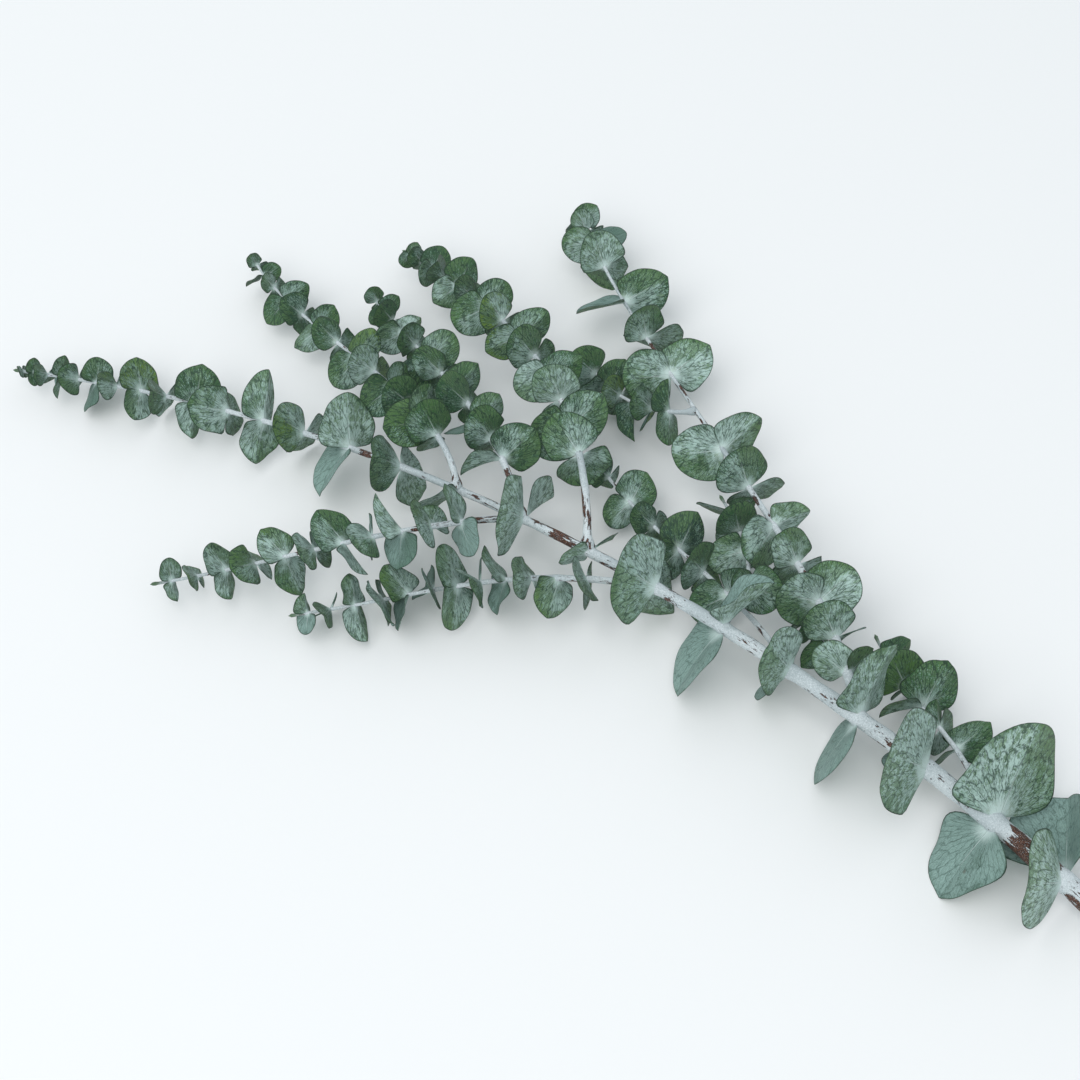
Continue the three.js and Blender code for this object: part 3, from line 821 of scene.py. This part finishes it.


# All the leaves of a stem as one piece. Each vertex carries its place on the flat blade and how
# chalky and how yellow-green its leaf is, a low green leaning it to a darker green that is partly
# painted shade, and each face its side and its leaf's length. Each leaf has its own wax and its own
# place in the pattern, and now and then one has a young leaf's colour.
def leavesPiece(stem, random):
    blades = [leaf for leaf in leaves if leaf["number"] == stem["number"]]
    look = bladeShape
    sides, flat = bladePoints(blades, look, random)
    triangles, isUpper, used = sheetTriangles(look["rows"], 2 * look["halfColumns"])
    count = len(blades)
    points = sides.reshape(count, -1, 3)[:, used]
    flat = np.concatenate([flat.reshape(count, -1, 3)] * 2, 1)[:, used]
    t = np.array([leaf["t"] for leaf in blades])
    low, high = stem["wax"][1], stem["wax"][0]
    wax = high + (low - high) * t + random.normal(0, look["waxSpread"], count)
    green = stem["green"] + random.uniform(0, 1, count)
    green = green + (random.uniform(0, 1, count) > look["youngFrom"])
    shift = random.uniform(0, look["placeSpread"], count)
    lengths = np.array([leaf["length"] for leaf in blades])
    ones = np.ones((1, len(used)))
    place = np.stack([flat[..., 0], flat[..., 1], shift[:, None] * ones], -1)
    kind = np.stack([wax[:, None] * ones, green[:, None] * ones, flat[..., 2]], -1)
    offsets = len(used) * np.arange(count)[:, None, None]
    piece = meshPiece(
        stem["name"] + "_leaves", points.reshape(-1, 3), (triangles[None] + offsets).reshape(-1, 3),
        leafMaterial, {"leafPlace": place.reshape(-1, 3), "leafKind": kind.reshape(-1, 3)},
        {"leafUpper": np.tile(isUpper, count), "leafLength": np.repeat(lengths * mm, len(triangles))})
    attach(piece, "root")
    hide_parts(stem["name"])


# In millimetres and shares of the stem's radius.
barkShape = {
    "step": 1.3, "mainSides": 28, "shootSides": 16, "nodeSwell": 0.11, "nodeReach": 2.6,
    "collar": 0.7, "collarReach": 3.0, "lumps": 0.025, "longLump": 4.1, "shortLump": 2.3,
    "budLength": 4.5, "budRadius": 0.95, "endTaper": 2, "patternStart": 900, "patternGap": 700,
    "thickest": 5,
}


# A tube along the stem: its radius is the taper, swollen by a bell curve at each leaf pair and at
# the collar on its parent, with low lumps round it, and it ends in a pointed bud. Each vertex carries
# its place in the pattern, how far the next leaf pair is, how thick the stem is, and whether it is bud.
def barkPiece(stem, random):
    look = barkShape
    rows = math.ceil(stem["length"] / look["step"])
    t = np.linspace(0, 1, rows + 1)
    centre, along, side, over = curveFrame(stem, t)
    arc = np.concatenate([[0], np.cumsum(np.linalg.norm(np.diff(centre, axis=0), axis=1))])
    nodes = np.interp(stem["places"], t, arc)
    gap = np.abs(arc[:, None] - nodes[None]).min(1)
    radius = radiusAt(stem, t)
    radius = radius * (1 + look["nodeSwell"] * np.exp(-(gap / look["nodeReach"]) ** 2))
    if "parent" in stem:
        outside = np.maximum(0, arc - stem["parentRadius"])
        radius = radius * (1 + look["collar"] * np.exp(-(outside / look["collarReach"]) ** 2))
    left = arc[-1] - arc
    bud = look["budRadius"] * np.sin(np.pi * np.clip(left / look["budLength"], 0, 1)) ** 0.8
    radius = np.maximum(radius * np.clip(left / look["endTaper"], 0, 1), bud)
    sides = look["shootSides"] if "parent" in stem else look["mainSides"]
    angle = np.linspace(0, 2 * np.pi, sides, endpoint=False)
    phases = random.uniform(0, 6.3, 4)
    lumps = np.sin(arc[:, None] / look["longLump"] + 2 * angle + phases[0])
    lumps = lumps + np.sin(arc[:, None] / look["shortLump"] - 3 * angle + phases[1])
    radius = radius[:, None] * (1 + look["lumps"] * lumps)
    x, y = radius * np.cos(angle), radius * np.sin(angle)
    points = centre[:, None] + x[..., None] * side[:, None] + y[..., None] * over[:, None]
    points = np.clip(points, *(np.array(corner) / mm for corner in cadBox))
    ring = np.arange(sides)
    after = np.roll(ring, -1)
    starts = sides * np.arange(rows - 1)[:, None]
    quads = np.stack([starts + ring, starts + after, starts + sides + after, starts + sides + ring], -1)
    walls = quads.reshape(-1, 4)[:, [0, 1, 2, 0, 2, 3]].reshape(-1, 3)
    last = sides * (rows - 1)
    rootPole, tipPole = sides * rows, sides * rows + 1
    rootCap = np.stack([after, ring, np.full(sides, rootPole)], -1)
    tipCap = np.stack([last + ring, last + after, np.full(sides, tipPole)], -1)
    points = np.concatenate([points[:-1].reshape(-1, 3), centre[:1], centre[-1:]])

    # Each stem has its own stretch of the pattern. Only the main stem's starts at 0, with cut wood.
    start = look["patternStart"] + look["patternGap"] * stem["number"] if "parent" in stem else 0
    wide = np.ones((1, sides))
    place = np.stack([(arc[:, None] + start) * wide, x, y], -1)[:-1].reshape(-1, 3)
    place = np.concatenate([place, [[start, 0, 0], [start + arc[-1], 0, 0]]]) * mm
    budShare = np.clip(1 - (left - 0.6 * look["budLength"]) / look["budLength"], 0, 1)
    kind = np.stack([gap[:, None] * mm * wide, radius / look["thickest"], budShare[:, None] * wide], -1)
    ends = kind[[0, -1]][:, 0]
    kind = np.concatenate([kind[:-1].reshape(-1, 3), ends])
    piece = meshPiece(
        stem["name"] + "_bark", points, np.concatenate([walls, rootCap, tipCap]), barkMaterial,
        {"barkPlace": place, "barkKind": kind})
    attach(piece, "root")
    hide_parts(stem["name"])


random = np.random.default_rng(bladeShape["seed"])
for stem in stems:
    leavesPiece(stem, random)
    barkPiece(stem, random)


# Camera and light. Directions are azimuth and elevation in degrees, azimuth 0 looking along +Y.
studio = {
    "azimuth": 209.87, "elevation": 55.0, "distance": 0.97, "angle": 30.0,
    "target": (0.3215, -0.0584, 0.0),
    "floorSize": 12.0, "floorColour": (0.872, 0.872, 0.864), "floorShade": 0.985, "floorPatches": 1.3,
    "sky": (0.87, 0.945, 1.0), "skyStrength": 0.68,
    "lights": [
        {"name": "window", "azimuth": 172, "elevation": 58, "distance": 3.4, "size": 3.4, "watts": 74},
        {"name": "fill", "azimuth": 60, "elevation": 50, "distance": 2.6, "size": 2.4, "watts": 5},
    ],
}


# The direction in which something is seen from the target.
def direction(azimuth, elevation):
    turn, rise = math.radians(azimuth), math.radians(elevation)
    return np.array([math.sin(turn) * math.cos(rise), -math.cos(turn) * math.cos(rise), math.sin(rise)])


# Puts a lamp or the camera in that direction from the target, and turns it to face the target.
def aim(thing, azimuth, elevation, distance):
    back = direction(azimuth, elevation)
    thing.location = np.array(studio["target"]) + back * distance
    thing.rotation_euler = Vector(-back).to_track_quat("-Z", "Y").to_euler()


# A pale, slightly uneven table top.
def floorSurface(net):
    place = net.node("ShaderNodeTexCoord", {}, {}, "Object")
    tone = net.noise(place, studio["floorPatches"], 2)
    low = tuple(studio["floorShade"] * part for part in studio["floorColour"])
    return {"Base Color": net.blend(tone, low, studio["floorColour"]), "Roughness": 0.55,
            "Specular IOR Level": 0.2}


def makeStudio():
    half = studio["floorSize"] / 2
    x, y = studio["target"][:2]
    mesh = bpy.data.meshes.new("floor")
    corners = [(x + half * i, y + half * j, 0) for i, j in ((-1, -1), (1, -1), (1, 1), (-1, 1))]
    mesh.from_pydata(corners, [], [(0, 1, 2, 3)])
    mesh.materials.append(newMaterial("paleTable", floorSurface))
    floor = bpy.data.objects.new("floor", mesh)
    bpy.context.scene.collection.objects.link(floor)

    world = bpy.data.worlds.new("studio")
    world.use_nodes = True
    background = world.node_tree.nodes["Background"]
    background.inputs[0].default_value = (*studio["sky"], 1)
    background.inputs[1].default_value = studio["skyStrength"]
    bpy.context.scene.world = world
    for light in studio["lights"]:
        lamp = bpy.data.lights.new(light["name"], "AREA")
        lamp.size = light["size"]
        lamp.energy = light["watts"]
        piece = bpy.data.objects.new(light["name"], lamp)
        bpy.context.scene.collection.objects.link(piece)
        aim(piece, light["azimuth"], light["elevation"], light["distance"])

    lens = bpy.data.cameras.new("camera")
    lens.angle = math.radians(studio["angle"])
    lens.clip_start, lens.clip_end = 0.01, 50
    camera = bpy.data.objects.new("camera", lens)
    bpy.context.scene.collection.objects.link(camera)
    aim(camera, studio["azimuth"], studio["elevation"], studio["distance"])
    bpy.context.scene.camera = camera
    bpy.context.scene.view_settings.view_transform = "Standard"


makeStudio()
print("studio made")
